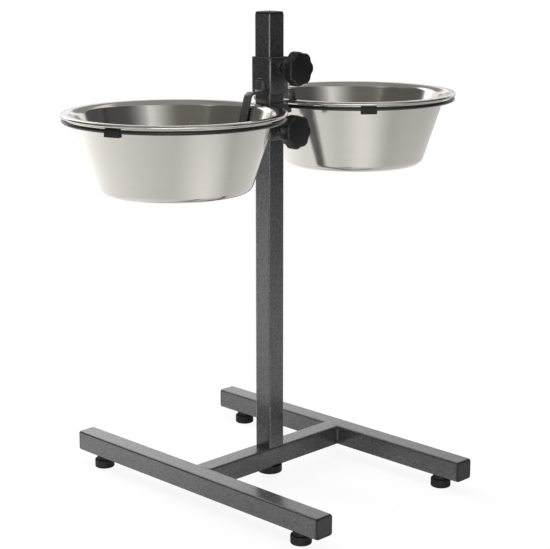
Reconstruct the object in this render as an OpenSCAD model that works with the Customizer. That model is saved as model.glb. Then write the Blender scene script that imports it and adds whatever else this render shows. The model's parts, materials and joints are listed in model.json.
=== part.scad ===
// Raised feeder for two bowls: an H-shaped tube base, a square post and two clamp collars.
// The lower collar carries the bowl rings, the upper one hooks over the rims and locks the bowls in.
// Millimetres. Origin on the floor under the post, +Z up, bowls at -X and +X, foot bars along Y.
// The clamp knobs are on the -Y side, which is the front.

/* [Tube] */
// Outer width of every square tube
tube_w = 26.5; // [22:0.5:30]
// Wall of every square tube
tube_wall = 1.2; // [1:0.1:2]
// Outer corner radius of every square tube
tube_r = 2.5; // [2.4:0.1:4]

/* [Base] */
// Length of a foot bar over its end caps
foot_bar_l = 445; // [360:1:520]
// Distance between the foot bars' centre lines
foot_bar_gap = 263; // [200:1:300]
// Diameter of the round cover under the cross bar
cover_d = 32.5; // [24:0.5:40]
// Height of that cover
cover_h = 10; // [8:0.5:12]
// Bevel round the cover's lower edge
cover_bevel = 1; // [0.3:0.1:2]
// Depth of the recess for the bolt's head in the cover's underside
cover_recess = 6; // [5.5:0.1:7]
// Radial room round that head
cover_recess_clear = 0.5; // [0.2:0.1:1]

/* [Feet] */
// Height of the feet under the bars
foot_h = 17; // [14:0.5:25]
// Diameter of a foot
foot_d = 26; // [21:0.5:30]
// Diameter of a foot's neck
foot_neck_d = 20; // [14:0.5:20.5]
// Height of a foot's neck
foot_neck_h = 6; // [2:0.5:8]
// Bevel round a foot's lower edge
foot_bevel = 1.5; // [0.5:0.1:3]
// Distance from a bar's end to a foot's centre
foot_inset = 38.5; // [25:0.5:80]
// Diameter of a foot screw's shank
foot_screw_d = 5; // [3:0.1:6]
// Diameter of a foot screw's head
foot_screw_head_d = 9; // [7:0.1:11]
// Height of a foot screw's head
foot_screw_head_h = 3; // [2:0.1:5]
// Depth of the recess for that head in the foot's underside
foot_recess = 6; // [5.5:0.1:9]
// Radial room round that head
foot_recess_clear = 0.5; // [0.2:0.1:1]
// How far a foot screw stands inside its bar
foot_screw_reach = 6; // [3:0.5:12]

/* [Caps] */
// Thickness of a cap's outer plate
cap_plate = 3; // [2:0.1:5]
// Bevel round a cap's outer plate
cap_bevel = 1; // [0.3:0.1:1.5]
// Length of a cap's plug inside the tube
cap_plug = 12; // [6:0.5:20]
// Wall of a cap's hollow plug
cap_wall = 2; // [1:0.1:4]

/* [Post] */
// Height of the post's top above the floor, over its cap
post_top = 609; // [580:1:700]
// Height of the threaded block in the post's lower end
block_h = 30; // [26:1:60]
// Room between the block or a plug and the bore round it
bore_clear = 0.15; // [0.05:0.05:0.4]
// Diameter of the bolt that holds the post on the cross bar
bolt_d = 8; // [6:0.5:10]
// Width of the bolt's head across its flats
bolt_head_w = 13; // [12:0.5:16]
// Height of the bolt's head
bolt_head_h = 5; // [3:0.1:5.4]
// How far the bolt stands inside the block
bolt_reach = 20; // [10:1:25]

/* [Bowls] */
// Height of the bowl rims above the floor
rim_top = 498; // [420:1:530]
// Outer radius of a bowl over its rolled rim
rim_r = 134.3; // [120:0.1:150]
// Depth of a bowl over all
bowl_h = 95; // [60:1:110]
// Radius of a bowl's floor, out to where the wall's line meets it
floor_r = 90.5; // [80:0.5:105]
// Width of the rim, from the wall's line to the outer edge
rim_w = 13.5; // [10:0.5:18]
// Sheet thickness of a bowl
bowl_t = 0.8; // [0.6:0.1:1.5]
// Radius between a bowl's floor and wall, at mid sheet
floor_fillet = 12; // [5:0.5:20]
// Radius between a bowl's wall and rim, at mid sheet
rim_fillet = 9; // [3:0.1:10]
// Radius of the rim's curl, at mid sheet
curl_r = 1.7; // [1.6:0.1:3]
// How far round the curl turns, in degrees
curl_turn = 240; // [180:5:270]

/* [Rings] */
// Diameter of the ring wire
wire_d = 5; // [4:0.1:7]
// How far the ring's wire lies inside the middle of the curl
ring_inset = 1.3; // [0:0.1:2.5]
// Width of a pad round the wire
pad_d = 7; // [6.4:0.1:10]
// How far a pad hangs below the middle of the wire
pad_hang = 6.5; // [4:0.1:9]
// Length of a pad along the wire
pad_l = 20; // [10:0.5:40]
// Pads on each ring
pad_count = 3; // [3:1:6]
// Direction of the first pad on the left ring, in degrees from +X
pad_start_left = -163; // [-180:1:-130]
// Direction of the first pad on the right ring, in degrees from +X
pad_start_right = -130; // [-150:1:-90]
// Room between a rim and the pads under it
bowl_seat = 0.3; // [0.1:0.05:0.5]
// Room between a wire and what is slid on it or welded to it
wire_clear = 0.05; // [0.02:0.01:0.1]
// Width of a ring's arm
arm_w = 16; // [10:0.5:25]
// Height of a ring's arm
arm_h = 8; // [5:0.5:14]
// Gap between the collar and the rims
rim_gap = 7.4; // [5:0.1:20]

/* [Collars] */
// Room between post and collar on each side, before the screw draws the collar forward
collar_play = 1.2; // [1:0.1:2]
// Wall of a collar
collar_wall = 2.5; // [2:0.1:5]
// Outer corner radius of a collar
collar_r = 3.5; // [1:0.1:5]
// Corner radius of a collar's bore
collar_bore_r = 0.8; // [0.3:0.1:2]
// Length of a collar
collar_l = 45; // [40:0.5:55]
// Height of the lower collar's top above the ring wire's centre
collar_above_ring = 5.7; // [3:0.1:12]
// Gap between the two collars
collar_gap = 13; // [9:0.5:20]
// Room between the post's back and the collar drawn against it
collar_seat = 0.05; // [0.02:0.01:0.2]

/* [Hooks] */
// Width of a hook strap
hook_w = 12; // [8:0.5:18]
// Thickness of a hook strap
hook_t = 3; // [2:0.1:4]
// Height of the hook strap's end that lies on the collar
hook_up = 18; // [10:0.5:30]
// Room between a hook and the bowl's inner face
hook_gap = 1.5; // [0.5:0.1:3]
// How far a hook reaches below the rim
hook_depth = 25; // [12:1:28]

/* [Clamps] */
// Distance from a collar's outer end to its clamp screw
clamp_from_end = 12.5; // [10:0.5:18]
// Diameter of a clamp screw
screw_d = 8; // [6:0.5:10]
// Radial room between a screw and its nut, its knob or its tip
thread_clear = 0.05; // [0.02:0.01:0.1]
// Radial room round a screw in the collar's wall
wall_hole_clear = 0.3; // [0.2:0.1:1]
// Width of a nut across its flats
nut_w = 14; // [13:0.5:18]
// Height of a nut
nut_h = 6.5; // [4:0.5:9]
// Gap between the upper nut and its knob
upper_stand_off = 7; // [4:0.1:12]
// Gap between the lower nut and its knob
lower_stand_off = 3.5; // [2:0.1:12]
// Diameter of a clamp tip
tip_d = 7; // [5:0.1:7.5]
// Length of a clamp tip in front of its screw
tip_l = 2.5; // [1:0.1:4]
// Diameter of a clamp tip's pin
tip_pin_d = 4; // [2:0.1:4.5]
// Length of a clamp tip's pin
tip_pin_l = 4; // [2:0.1:8]

/* [Knobs] */
// Diameter of a knob over its lobes
knob_d = 43; // [36:0.5:50]
// Length of a knob
knob_l = 25; // [20:0.5:32]
// Thickness of a knob's head
knob_head = 14; // [8:0.5:18]
// Diameter of a knob's hub where it faces the nut
knob_hub_d = 23; // [14:0.5:24]
// Diameter of a knob's hub where it meets the head
knob_neck_d = 32; // [20:0.5:34]
// Lobes of a knob
knob_lobes = 7; // [5:1:9]
// Radius of the hollow between two lobes
hollow_r = 6; // [4:0.5:8]
// Depth of the hollow between two lobes
hollow_depth = 2; // [1:0.1:4]
// Bevel round a knob's face
knob_bevel = 3; // [0.5:0.1:4]
// Depth of a screw inside its knob
knob_hold = 14; // [8:0.5:18]

/* [Hidden] */
$fn = 96;
EPS = 1;
ARC_STEPS = 8;
CURL_STEPS = 16;
LEFT = -1;
RIGHT = 1;
FRONT = -1;
REAR = 1;

tube_bore = tube_w - 2 * tube_wall;
tube_bore_r = max(tube_r - tube_wall, 0.2);
bar_z = foot_h + tube_w / 2;
bar_top = foot_h + tube_w;
bar_x = foot_bar_gap / 2;
bar_tube_l = foot_bar_l - 2 * cap_plate;
foot_y = foot_bar_l / 2 - foot_inset;
cross_l = foot_bar_gap - tube_w;

bolt_hole_d = bolt_d + 2 * thread_clear;
bolt_head_d = bolt_head_w / cos(30);
cover_z0 = foot_h - cover_h;
bolt_z = cover_z0 + cover_recess;

plug_w = tube_bore - 2 * bore_clear;
plug_r = tube_bore_r + bore_clear;
post_tube_l = post_top - cap_plate - bar_top;

collar_bore = tube_w + 2 * collar_play;
collar_w = collar_bore + 2 * collar_wall;
collar_y = collar_seat - collar_play;
collar_front = collar_y - collar_w / 2;
bowl_x = collar_w / 2 + rim_gap + rim_r;

curl_x = rim_r - curl_r - bowl_t / 2;
rim_z = rim_top - bowl_t / 2;
curl_bottom = rim_top - bowl_t - 2 * curl_r;
wall_top_r = rim_r - rim_w;
floor_z = rim_top - bowl_h + bowl_t / 2;
wall_lean = atan2(wall_top_r - floor_r, rim_z - floor_z);
wall_slope = tan(wall_lean);

wire_r = wire_d / 2;
ring_r = curl_x - ring_inset;
ring_z = curl_bottom - bowl_seat - pad_d / 2;
pad_turn = pad_l / ring_r * 180 / PI;
arm_end = bowl_x - ring_r + wire_r;

lower_z1 = ring_z + collar_above_ring;
lower_z0 = lower_z1 - collar_l;
upper_z0 = lower_z1 + collar_gap;
lower_clamp_z = lower_z0 + clamp_from_end;
upper_clamp_z = upper_z0 + collar_l - clamp_from_end;

hook_bend_z = upper_z0 + hook_t / 2;
hook_tip_z = rim_top - hook_depth;
hook_face_x = collar_w / 2 + hook_t / 2;
hook_off = (bowl_t / 2 + hook_gap + hook_t / 2) / cos(wall_lean);

tip_y = -tube_w / 2 - collar_seat;
screw_y = tip_y - tip_l - thread_clear;
nut_y = collar_front - nut_h;
screw_bore_d = screw_d + 2 * thread_clear;

PAINT = "#4b4c50";
BLACK = "#1b1b1d";
RUBBER = "#141415";
STEEL = "#c9c9c6";
ZINC = "#9a9a96";
NYLON = "#e4e0d4";

// Square outline with round corners
module rounded_square(w, r) {
    square([w - 2 * r, w], center = true);
    square([w, w - 2 * r], center = true);
    for (x = [-1, 1], y = [-1, 1])
        translate([x * (w / 2 - r), y * (w / 2 - r)])
            circle(r);
}

// Square tube standing on the origin
module square_tube(l, w, r, bore, bore_r) {
    linear_extrude(l)
        difference() {
            rounded_square(w, r);
            rounded_square(bore, bore_r);
        }
}

// The stand's own tube, standing on the origin
module stand_tube(l) {
    square_tube(l, tube_w, tube_r, tube_bore, tube_bore_r);
}

// Plate with a bevelled upper edge, standing on the origin
module bevelled_plate(w, r, h, bevel) {
    side = [
        [-w / 2, 0], [w / 2, 0], [w / 2, h - bevel],
        [w / 2 - bevel, h], [-w / 2 + bevel, h], [-w / 2, h - bevel]
    ];
    intersection() {
        linear_extrude(h)
            rounded_square(w, r);
        rotate([90, 0, 0])
            linear_extrude(w, center = true)
                polygon(side);
        rotate([90, 0, 90])
            linear_extrude(w, center = true)
                polygon(side);
    }
}

// Push-in cap: its plate stands on the tube's end, its hollow plug hangs inside
module push_cap() {
    bevelled_plate(tube_w, tube_r, cap_plate, cap_bevel);
    translate([0, 0, -cap_plug])
        square_tube(cap_plug, plug_w, plug_r, plug_w - 2 * cap_wall, plug_r);
}

// Points along an arc
function arc(x, y, r, from, to, steps) = [
    for (i = [0 : steps])
        let (a = from + (to - from) * i / steps)
            [x + r * cos(a), y + r * sin(a)]
];

function reversed(points) = [for (i = [len(points) - 1 : -1 : 0]) points[i]];

// One face of the bowl's sheet, from the middle of the floor to the end of the curl
function bowl_face(inward) =
    let (reach = tan((90 - wall_lean) / 2))
        concat(
            [[0, floor_z + inward]],
            arc(floor_r - floor_fillet * reach, floor_z + floor_fillet, floor_fillet - inward,
                -90, -wall_lean, ARC_STEPS),
            arc(wall_top_r + rim_fillet * reach, rim_z - rim_fillet, rim_fillet + inward,
                180 - wall_lean, 90, ARC_STEPS),
            arc(curl_x, rim_z - curl_r, curl_r + inward, 90, 90 - curl_turn, CURL_STEPS)
        );

module foot_bar(side) {
    difference() {
        translate([side * bar_x, bar_tube_l / 2, bar_z])
            rotate([90, 0, 0])
                stand_tube(bar_tube_l);
        for (end = [FRONT, REAR])
            translate([side * bar_x, end * foot_y, foot_h - EPS])
                cylinder(d = foot_screw_d + 2 * thread_clear, h = tube_wall + 2 * EPS);
    }
}

module foot_bar_left() {
    color(PAINT)
        foot_bar(LEFT);
}

module foot_bar_right() {
    color(PAINT)
        foot_bar(RIGHT);
}

module cross_bar() {
    color(PAINT)
        difference() {
            translate([-cross_l / 2, 0, bar_z])
                rotate([0, 90, 0])
                    stand_tube(cross_l);
            translate([0, 0, foot_h - EPS])
                cylinder(d = bolt_hole_d, h = tube_w + 2 * EPS);
        }
}

module bar_cap(side, end) {
    translate([side * bar_x, end * bar_tube_l / 2, bar_z])
        rotate([-90 * end, 0, 0])
            push_cap();
}

module cap_left_front() {
    color(BLACK)
        bar_cap(LEFT, FRONT);
}

module cap_left_rear() {
    color(BLACK)
        bar_cap(LEFT, REAR);
}

module cap_right_front() {
    color(BLACK)
        bar_cap(RIGHT, FRONT);
}

module cap_right_rear() {
    color(BLACK)
        bar_cap(RIGHT, REAR);
}

module cap_post() {
    color(BLACK)
        translate([0, 0, post_top - cap_plate])
            push_cap();
}

// Round foot on the floor, narrower under the bar, with a recess for its screw's head
module foot(side, end) {
    translate([side * bar_x, end * foot_y, 0])
        difference() {
            union() {
                cylinder(d1 = foot_d - 2 * foot_bevel, d2 = foot_d, h = foot_bevel);
                translate([0, 0, foot_bevel])
                    cylinder(d = foot_d, h = foot_h - foot_neck_h - foot_bevel);
                translate([0, 0, foot_h - foot_neck_h])
                    cylinder(d = foot_neck_d, h = foot_neck_h);
            }
            translate([0, 0, -EPS])
                cylinder(d = foot_screw_head_d + 2 * foot_recess_clear, h = foot_recess + EPS);
            cylinder(d = foot_screw_d + 2 * thread_clear, h = foot_h + EPS);
        }
}

module foot_left_front() {
    color(RUBBER)
        foot(LEFT, FRONT);
}

module foot_left_rear() {
    color(RUBBER)
        foot(LEFT, REAR);
}

module foot_right_front() {
    color(RUBBER)
        foot(RIGHT, FRONT);
}

module foot_right_rear() {
    color(RUBBER)
        foot(RIGHT, REAR);
}

module foot_screws() {
    shank_l = foot_h + tube_wall + foot_screw_reach - foot_recess;
    color(ZINC)
        for (side = [LEFT, RIGHT], end = [FRONT, REAR])
            translate([side * bar_x, end * foot_y, foot_recess]) {
                translate([0, 0, -foot_screw_head_h])
                    cylinder(d = foot_screw_head_d, h = foot_screw_head_h);
                cylinder(d = foot_screw_d, h = shank_l);
            }
}

// Round cover under the cross bar, with a recess for the bolt's head
module bolt_cover() {
    color(BLACK)
        translate([0, 0, cover_z0])
            difference() {
                union() {
                    cylinder(d1 = cover_d - 2 * cover_bevel, d2 = cover_d, h = cover_bevel);
                    translate([0, 0, cover_bevel])
                        cylinder(d = cover_d, h = cover_h - cover_bevel);
                }
                translate([0, 0, -EPS])
                    cylinder(d = bolt_head_d + 2 * cover_recess_clear, h = cover_recess + EPS);
                cylinder(d = bolt_hole_d, h = cover_h + EPS);
            }
}

module post_bolt() {
    shank_l = bar_top + bolt_reach - bolt_z;
    color(ZINC)
        translate([0, 0, bolt_z]) {
            translate([0, 0, -bolt_head_h])
                cylinder(d = bolt_head_d, h = bolt_head_h, $fn = 6);
            cylinder(d = bolt_d, h = shank_l);
        }
}

// Threaded block in the post's lower end, drawn down onto the cross bar by the bolt
module post_block() {
    color(ZINC)
        translate([0, 0, bar_top])
            difference() {
                linear_extrude(block_h)
                    rounded_square(plug_w, plug_r);
                translate([0, 0, -EPS])
                    cylinder(d = bolt_hole_d, h = block_h + 2 * EPS);
            }
}

module post() {
    color(PAINT)
        translate([0, 0, bar_top])
            stand_tube(post_tube_l);
}

// Square sleeve drawn forward against the post's back, with the clamp screw's hole in its front
module collar(z0, clamp_z) {
    difference() {
        translate([0, collar_y, z0])
            square_tube(collar_l, collar_w, collar_r, collar_bore, collar_bore_r);
        translate([0, collar_front - EPS, clamp_z])
            rotate([-90, 0, 0])
                cylinder(d = screw_d + 2 * wall_hole_clear, h = collar_wall + 2 * EPS);
    }
}

module weld_nut(clamp_z) {
    translate([0, nut_y, clamp_z])
        rotate([-90, 0, 0])
            difference() {
                cylinder(d = nut_w / cos(30), h = nut_h, $fn = 6);
                translate([0, 0, -EPS])
                    cylinder(d = screw_bore_d, h = nut_h + 2 * EPS);
            }
}

// Plastic tip in the screw's end, facing the post
module clamp_tip(clamp_z) {
    translate([0, tip_y, clamp_z])
        rotate([90, 0, 0]) {
            cylinder(d = tip_d, h = tip_l);
            cylinder(d = tip_pin_d, h = tip_l + tip_pin_l);
        }
}

module clamp_screw(clamp_z, stand_off) {
    screw_l = screw_y - (nut_y - stand_off) + knob_hold;
    translate([0, screw_y, clamp_z])
        rotate([90, 0, 0])
            difference() {
                cylinder(d = screw_d, h = screw_l);
                translate([0, 0, -EPS])
                    cylinder(d = tip_pin_d + 2 * thread_clear, h = tip_pin_l + thread_clear + EPS);
            }
}

module knob_outline() {
    difference() {
        circle(d = knob_d);
        for (i = [0 : knob_lobes - 1])
            rotate((i + 0.5) * 360 / knob_lobes)
                translate([knob_d / 2 + hollow_r - hollow_depth, 0])
                    circle(hollow_r);
    }
}

// Lobed knob whose hub faces the nut
module knob(clamp_z, stand_off) {
    neck_l = knob_l - knob_head;
    r = knob_d / 2;
    translate([0, nut_y - stand_off, clamp_z])
        rotate([90, 0, 0])
            difference() {
                union() {
                    cylinder(d1 = knob_hub_d, d2 = knob_neck_d, h = neck_l);
                    translate([0, 0, neck_l])
                        intersection() {
                            linear_extrude(knob_head)
                                knob_outline();
                            rotate_extrude()
                                polygon([
                                    [0, 0], [r - knob_bevel / 2, 0], [r, knob_bevel / 2],
                                    [r, knob_head - knob_bevel], [r - knob_bevel, knob_head], [0, knob_head]
                                ]);
                        }
                }
                translate([0, 0, -EPS])
                    cylinder(d = screw_bore_d, h = knob_hold + thread_clear + EPS);
            }
}

module lower_collar() {
    color(PAINT)
        collar(lower_z0, lower_clamp_z);
}

module lower_nut() {
    color(PAINT)
        weld_nut(lower_clamp_z);
}

module lower_tip() {
    color(NYLON)
        clamp_tip(lower_clamp_z);
}

module lower_screw() {
    color(ZINC)
        clamp_screw(lower_clamp_z, lower_stand_off);
}

module lower_knob() {
    color(BLACK)
        knob(lower_clamp_z, lower_stand_off);
}

module upper_collar() {
    color(PAINT)
        collar(upper_z0, upper_clamp_z);
}

module upper_nut() {
    color(PAINT)
        weld_nut(upper_clamp_z);
}

module upper_tip() {
    color(NYLON)
        clamp_tip(upper_clamp_z);
}

module upper_screw() {
    color(ZINC)
        clamp_screw(upper_clamp_z, upper_stand_off);
}

module upper_knob() {
    color(BLACK)
        knob(upper_clamp_z, upper_stand_off);
}

// A ring's wire, or the room for it
module ring_wire(side, d) {
    translate([side * bowl_x, 0, ring_z])
        rotate_extrude()
            translate([ring_r, 0])
                circle(d = d);
}

module ring_left() {
    color(PAINT)
        ring_wire(LEFT, wire_d);
}

module ring_right() {
    color(PAINT)
        ring_wire(RIGHT, wire_d);
}

// Arm from the lower collar to a ring, whose wire lies half sunk in its end
module ring_arm(side) {
    arm_l = arm_end - collar_w / 2;
    difference() {
        translate([side * (collar_w / 2 + arm_l / 2), collar_y, ring_z - arm_h / 2])
            cube([arm_l, arm_w, arm_h], center = true);
        ring_wire(side, wire_d + 2 * wire_clear);
    }
}

module ring_arm_left() {
    color(PAINT)
        ring_arm(LEFT);
}

module ring_arm_right() {
    color(PAINT)
        ring_arm(RIGHT);
}

// One pad round the wire, round above it and hanging square below
module ring_pad(side, middle) {
    translate([side * bowl_x, 0, ring_z])
        rotate(middle - pad_turn / 2)
            rotate_extrude(angle = pad_turn)
                translate([ring_r, 0]) {
                    circle(d = pad_d);
                    translate([-pad_d / 2, -pad_hang])
                        square([pad_d, pad_hang]);
                }
}

// Pads on a ring's wire, evenly spaced
module ring_pads(side, start) {
    difference() {
        for (i = [0 : pad_count - 1])
            ring_pad(side, start + i * 360 / pad_count);
        ring_wire(side, wire_d + 2 * wire_clear);
    }
}

module ring_pads_left() {
    color(RUBBER)
        ring_pads(LEFT, pad_start_left);
}

module ring_pads_right() {
    color(RUBBER)
        ring_pads(RIGHT, pad_start_right);
}

// Distance from the post to a hook's leg, which runs along the bowl's inner face
function hook_leg_x(z) = bowl_x - (wall_top_r + (z - rim_z) * wall_slope - hook_off);

// One straight stretch of strap with round ends, seen from the side
module strap_run(a, b) {
    l = norm(b - a);
    translate(a)
        rotate(atan2(b[1] - a[1], b[0] - a[0])) {
            translate([0, -hook_t / 2])
                square([l, hook_t]);
            circle(d = hook_t);
            translate([l, 0])
                circle(d = hook_t);
        }
}

// Strap from the upper collar's side, out over the rim and down inside the bowl
module hook() {
    top = [hook_face_x, upper_z0 + hook_up - hook_t / 2];
    inner = [hook_face_x, hook_bend_z];
    outer = [hook_leg_x(hook_bend_z), hook_bend_z];
    tip = [hook_leg_x(hook_tip_z), hook_tip_z];
    translate([0, collar_y, 0])
        rotate([90, 0, 0])
            linear_extrude(hook_w, center = true) {
                strap_run(top, inner);
                strap_run(inner, outer);
                strap_run(outer, tip);
            }
}

module hook_left() {
    color(PAINT)
        mirror([1, 0, 0])
            hook();
}

module hook_right() {
    color(PAINT)
        hook();
}

module bowl(side) {
    translate([side * bowl_x, 0, 0])
        rotate_extrude()
            polygon(concat(bowl_face(bowl_t / 2), reversed(bowl_face(-bowl_t / 2))));
}

module bowl_left() {
    color(STEEL)
        bowl(LEFT);
}

module bowl_right() {
    color(STEEL)
        bowl(RIGHT);
}

foot_bar_left();
foot_bar_right();
cross_bar();
cap_left_front();
cap_left_rear();
cap_right_front();
cap_right_rear();
cap_post();
foot_left_front();
foot_left_rear();
foot_right_front();
foot_right_rear();
foot_screws();
bolt_cover();
post_bolt();
post_block();
post();
lower_collar();
lower_nut();
ring_arm_left();
ring_arm_right();
ring_left();
ring_right();
ring_pads_left();
ring_pads_right();
lower_tip();
lower_screw();
lower_knob();
upper_collar();
upper_nut();
hook_left();
hook_right();
upper_tip();
upper_screw();
upper_knob();
bowl_left();
bowl_right();
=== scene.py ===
import json
import math

import bmesh
import bpy
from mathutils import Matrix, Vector


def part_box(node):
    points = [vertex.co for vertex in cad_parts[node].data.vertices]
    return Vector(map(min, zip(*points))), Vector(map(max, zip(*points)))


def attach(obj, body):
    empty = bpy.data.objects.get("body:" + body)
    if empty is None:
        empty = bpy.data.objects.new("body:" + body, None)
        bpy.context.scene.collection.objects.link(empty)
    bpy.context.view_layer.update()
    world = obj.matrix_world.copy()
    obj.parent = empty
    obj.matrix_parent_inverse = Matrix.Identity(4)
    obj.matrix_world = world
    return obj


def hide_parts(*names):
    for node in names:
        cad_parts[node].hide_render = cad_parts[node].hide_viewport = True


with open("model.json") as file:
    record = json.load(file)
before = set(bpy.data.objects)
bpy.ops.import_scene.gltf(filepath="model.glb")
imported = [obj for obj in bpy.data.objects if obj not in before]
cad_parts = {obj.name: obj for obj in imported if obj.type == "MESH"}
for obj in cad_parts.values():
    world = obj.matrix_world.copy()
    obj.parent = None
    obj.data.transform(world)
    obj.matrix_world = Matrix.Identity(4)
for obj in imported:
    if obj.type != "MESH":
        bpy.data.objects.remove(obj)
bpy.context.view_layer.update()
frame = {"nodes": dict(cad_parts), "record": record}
nodes = frame["nodes"]
sides = ("left", "right")
print("frame loaded with", len(nodes), "nodes")

# camera, solved from the photographed edges of the stand; the picture is 550 x 549
camera = {
    "place": (-1.3279, -1.3289, 0.7125),
    "yaw": 45.19,       # degrees from +Y towards +X
    "pitch": 13.13,     # degrees down
    "lens": 97.96,
    "sensor": 36,
    "farClip": 200,
}


def placeCamera():
    lensData = bpy.data.cameras.new("photoCamera")
    lensData.lens = camera["lens"]
    lensData.sensor_width = camera["sensor"]
    lensData.clip_end = camera["farClip"]
    eye = bpy.data.objects.new("photoCamera", lensData)
    bpy.context.scene.collection.objects.link(eye)
    eye.location = camera["place"]
    eye.rotation_euler = (math.radians(90 - camera["pitch"]), 0, math.radians(-camera["yaw"]))
    bpy.context.scene.camera = eye


placeCamera()
print("camera placed")


# modelling helpers; gaps in metres, the angle in degrees
mergeGap = 0.000002
levelGap = 0.00001
smoothAngle = 35


def objectMode():
    if bpy.context.object and bpy.context.object.mode != "OBJECT":
        bpy.ops.object.mode_set(mode="OBJECT")


def startFresh():
    objectMode()
    bpy.ops.object.select_all(action="DESELECT")


def activate(piece):
    startFresh()
    piece.select_set(True)
    bpy.context.view_layer.objects.active = piece


def pieceName(node):
    return node.replace("_", ".")


def nameAdded(name):
    piece = bpy.context.object
    piece.name = name
    piece.data.name = name
    bpy.ops.object.transform_apply(location=True, rotation=True, scale=True)
    return piece


def editPiece(piece):
    activate(piece)
    bpy.ops.object.mode_set(mode="EDIT")
    bpy.ops.mesh.select_mode(type="VERT")


def pick(piece, kind, test):
    # selects the verts, edges or faces that pass the test, by place or normal
    bpy.ops.mesh.select_mode(type={"verts": "VERT", "edges": "EDGE", "faces": "FACE"}[kind])
    bpy.ops.mesh.select_all(action="DESELECT")
    shape = bmesh.from_edit_mesh(piece.data)
    for item in getattr(shape, kind):
        if test(item):
            item.select_set(True)
    shape.select_flush_mode()
    bmesh.update_edit_mesh(piece.data)


def extrudeBy(step):
    bpy.ops.mesh.extrude_region_move(TRANSFORM_OT_translate={"value": step})


def cleanShell():
    bpy.ops.mesh.select_all(action="SELECT")
    bpy.ops.mesh.remove_doubles(threshold=mergeGap)
    bpy.ops.mesh.normals_make_consistent(inside=False)


def applyModifier(piece, kind, **values):
    activate(piece)
    bpy.ops.object.modifier_add(type=kind)
    modifier = piece.modifiers[-1]
    for key, value in values.items():
        setattr(modifier, key, value)
    bpy.ops.object.modifier_apply(modifier=modifier.name)


def roundEdges(piece, width, segments, turn):
    # turn is the least angle of an edge that is rounded, in radians
    applyModifier(piece, "BEVEL", width=width, segments=segments, limit_method="ANGLE", angle_limit=turn)


def tracedLine(name, points):
    # a plane drawn together to one point, then extruded from point to point
    startFresh()
    bpy.ops.mesh.primitive_plane_add(size=0.001, location=points[0])
    piece = nameAdded(name)
    editPiece(piece)
    bpy.ops.mesh.select_all(action="SELECT")
    bpy.ops.mesh.merge(type="CENTER")
    for here, there in zip(points, points[1:]):
        extrudeBy(Vector(there) - Vector(here))
    return piece


def filledOutline(name, points):
    # a closed outline with one face in it, left selected in edit mode
    piece = tracedLine(name, points + points[:1])
    bpy.ops.mesh.select_all(action="SELECT")
    bpy.ops.mesh.remove_doubles(threshold=mergeGap)
    bpy.ops.mesh.edge_face_add()
    return piece


# direction of each axis and a direction square to it
axes = {
    "y": (Vector((0, 1, 0)), Vector((0, 0, 1))),
    "z": (Vector((0, 0, 1)), Vector((1, 0, 0))),
}


def turned(name, outline, base, axis, steps):
    # outline is a list of (radius, distance along the axis from base)
    along, side = axes[axis]
    base = Vector(base)
    piece = tracedLine(name, [base + along * far + side * radius for radius, far in outline])
    bpy.ops.mesh.select_all(action="SELECT")
    bpy.ops.mesh.spin(steps=steps, angle=2 * math.pi, center=base, axis=along)
    cleanShell()
    objectMode()
    return piece


def arcPoints(x, y, radius, start, end, steps):
    turns = [math.radians(start + (end - start) * i / steps) for i in range(steps + 1)]
    return [(x + radius * math.cos(a), y + radius * math.sin(a)) for a in turns]


def joined(pieces):
    startFresh()
    for piece in pieces:
        piece.select_set(True)
    bpy.context.view_layer.objects.active = pieces[0]
    bpy.ops.object.join()
    return pieces[0]


def copied(piece, name, shift=(0, 0, 0), turn=0, mirrored=False):
    # a copy with its own mesh, whose place is then put into that mesh
    activate(piece)
    bpy.ops.object.duplicate(linked=False)
    twin = bpy.context.object
    twin.location = shift
    twin.rotation_euler = (0, 0, turn)
    if mirrored:
        twin.scale = (-1, 1, 1)
    bpy.ops.object.transform_apply(location=True, rotation=True, scale=True)
    twin.name = name
    twin.data.name = name
    if mirrored:
        editPiece(twin)
        cleanShell()
        objectMode()
    return twin


def handOver(piece, body, slot, material, *stoodFor):
    activate(piece)
    bpy.ops.object.shade_smooth_by_angle(angle=math.radians(smoothAngle))
    piece.data.materials.clear()
    piece.data.materials.append(material)
    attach(piece, body)
    if stoodFor:
        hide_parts(*stoodFor)


# shader helpers

class Shade:
    # wraps one socket, so that sums on values read as sums
    def __init__(self, tree, socket=None):
        self.tree = tree
        self.socket = socket

    def node(self, kind, settings=None, sockets=None, output=0):
        made = self.tree.nodes.new(kind)
        for key, value in (settings or {}).items():
            if key == "stops":
                setStops(made.color_ramp, value)
            else:
                setattr(made, key, value)
        for key, value in (sockets or {}).items():
            if isinstance(value, Shade):
                self.tree.links.new(value.socket, made.inputs[key])
            else:
                made.inputs[key].default_value = value
        return Shade(self.tree, made.outputs[output] if made.outputs else None)

    def sum(self, operation, first, second):
        return self.node("ShaderNodeMath", {"operation": operation}, {0: first, 1: second})

    def __add__(self, other):
        return self.sum("ADD", self, other)

    def __radd__(self, other):
        return self.sum("ADD", other, self)

    def __sub__(self, other):
        return self.sum("SUBTRACT", self, other)

    def __rsub__(self, other):
        return self.sum("SUBTRACT", other, self)

    def __mul__(self, other):
        return self.sum("MULTIPLY", self, other)

    def __rmul__(self, other):
        return self.sum("MULTIPLY", other, self)


def setStops(ramp, stops):
    while len(ramp.elements) < len(stops):
        ramp.elements.new(0.5)
    for element, (place, level) in zip(ramp.elements, stops):
        element.position = place
        element.color = (level, level, level, 1)


def newMaterial(name):
    material = bpy.data.materials.new(name)
    material.use_nodes = True
    material.node_tree.nodes.clear()
    return material, Shade(material.node_tree)


def finishMaterial(web, sockets):
    surface = web.node("ShaderNodeBsdfPrincipled", None, sockets)
    web.node("ShaderNodeOutputMaterial", None, {"Surface": surface})


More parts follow.
